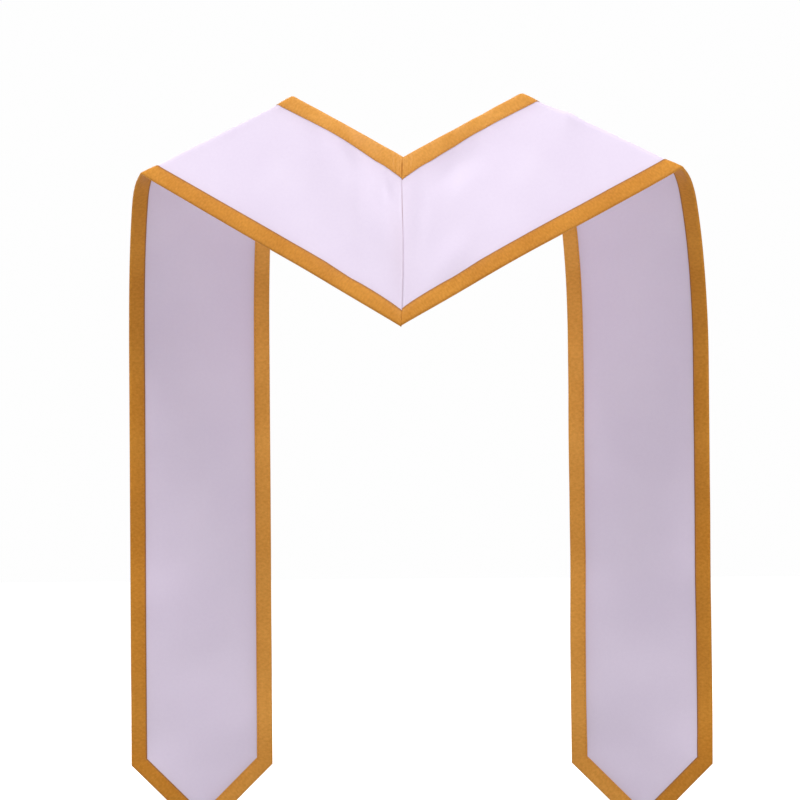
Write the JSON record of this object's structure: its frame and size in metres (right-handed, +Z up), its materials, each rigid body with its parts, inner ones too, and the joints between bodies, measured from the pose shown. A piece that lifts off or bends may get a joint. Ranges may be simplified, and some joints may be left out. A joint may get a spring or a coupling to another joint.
{
  "type": "graduation stole",
  "caption": "Satin stole for a graduation gown: a flat V on the back, folds over both shoulders and edged bands hanging down the front to points.",
  "frame": {"origin": "midway between the two points where the neck edge crosses the top of the shoulders", "axes": "+Z up, +Y out of the wearer's back, +X to the wearer's left"},
  "size_m": [0.444, 0.2353, 0.5535],
  "materials": {
    "band_satin": "pale lilac-white satin with a soft sheen",
    "binding_satin": "gold satin binding, folded over the edge and stitched"
  },
  "bodies": {
    "root": {"left_band": "band_satin", "right_band": "band_satin", "left_neck_binding": "binding_satin", "right_neck_binding": "binding_satin", "left_outer_binding": "binding_satin", "right_outer_binding": "binding_satin"}
  },
  "joints": []
}
